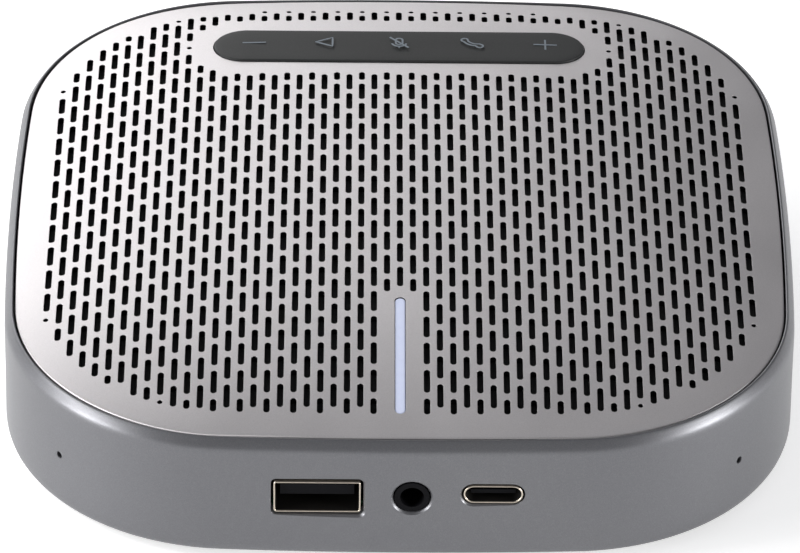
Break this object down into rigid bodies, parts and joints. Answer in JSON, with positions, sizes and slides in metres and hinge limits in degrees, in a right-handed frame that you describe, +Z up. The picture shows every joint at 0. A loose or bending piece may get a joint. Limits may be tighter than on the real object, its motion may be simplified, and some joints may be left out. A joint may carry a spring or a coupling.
{
  "type": "conference speakerphone",
  "caption": "Low square conference speakerphone with rounded corners, a domed slotted grille, a touch strip, a light bar and USB and headset sockets in its front wall.",
  "frame": {"origin": "centre of the footprint on the table, under the middle of the body", "axes": "+Z up through the domed grille; -Y towards the wall with the sockets; +X to the right seen from that wall"},
  "size_m": [0.1228, 0.1228, 0.0275],
  "materials": {
    "grille_aluminium": "fine bead-blasted, clear anodised",
    "body_metallic": "satin metallic grey paint with fine sparkle",
    "strip_plastic": "matte dark grey",
    "icon_print": "faint light blue-grey print",
    "lens_plastic": "milky translucent",
    "acoustic_cloth": "black open weave",
    "black_plastic": "moulded, fine texture",
    "foot_rubber": "matte silicone rubber",
    "seal_foam": "closed-cell foam",
    "circuit_board": "green solder mask",
    "chip_black": "moulded chip package",
    "led_white": "light emitting diode package",
    "bright_steel": "plated sheet steel",
    "zinc_steel": "zinc plated",
    "screw_steel": "blackened steel screws",
    "gold_contact": "gold flashed contacts",
    "socket_plastic": "moulded socket insert",
    "connector_plastic": "natural nylon",
    "ferrite": "sintered ferrite",
    "copper_wire": "enamelled copper winding",
    "cone_paper": "pulp and resin cone",
    "spider_cloth": "phenolic treated cloth",
    "battery_wrap": "heat-shrink wrap",
    "wire_red": "insulated wire",
    "ribbon_film": "polyimide flat cable"
  },
  "bodies": {
    "enclosure": {"top_grille": "grille_aluminium", "housing": "body_metallic", "socket_wall": "body_metallic", "bottom_cover": "black_plastic", "foot_ring": "foot_rubber", "cover_screws": "screw_steel", "grille_frame": "black_plastic", "acoustic_cloth": "acoustic_cloth", "control_strip": "strip_plastic", "strip_icons": "icon_print", "touch_board": "circuit_board", "light_bar_lens": "lens_plastic", "light_board": "circuit_board", "bar_leds": "led_white", "speaker_yoke": "zinc_steel", "speaker_magnet": "ferrite", "speaker_top_plate": "zinc_steel", "spider": "spider_cloth", "surround": "foot_rubber", "speaker_basket": "zinc_steel", "speaker_gasket": "seal_foam", "speaker_box": "black_plastic", "speaker_screws": "screw_steel", "main_board": "circuit_board", "board_screws": "screw_steel", "shield_can": "bright_steel", "board_chips": "chip_black", "usb_a_shell": "bright_steel", "usb_a_insert": "socket_plastic", "usb_a_contacts": "gold_contact", "usb_c_shell": "bright_steel", "usb_c_insert": "socket_plastic", "usb_c_contacts": "gold_contact", "usb_c_riser": "socket_plastic", "jack_body": "socket_plastic", "jack_springs": "gold_contact", "lead_sockets": "connector_plastic", "ribbon_sockets": "connector_plastic", "mic_boards": "circuit_board", "mic_capsules": "bright_steel", "mic_boots": "foot_rubber", "battery_pad": "seal_foam", "battery_pack": "battery_wrap", "battery_leads": "wire_red", "speaker_leads": "wire_red", "touch_ribbon": "ribbon_film"},
    "cone": {"speaker_cone": "cone_paper", "dust_cap": "cone_paper", "voice_coil": "copper_wire"}
  },
  "joints": [
    {"name": "cone_travel", "type": "slide", "parent": "enclosure", "child": "cone", "axis": [0, 0, 1], "range_m": [-0.0015, 0.0015], "stiffness_N_per_m": 1500, "deforming": ["surround", "spider"]}
  ]
}
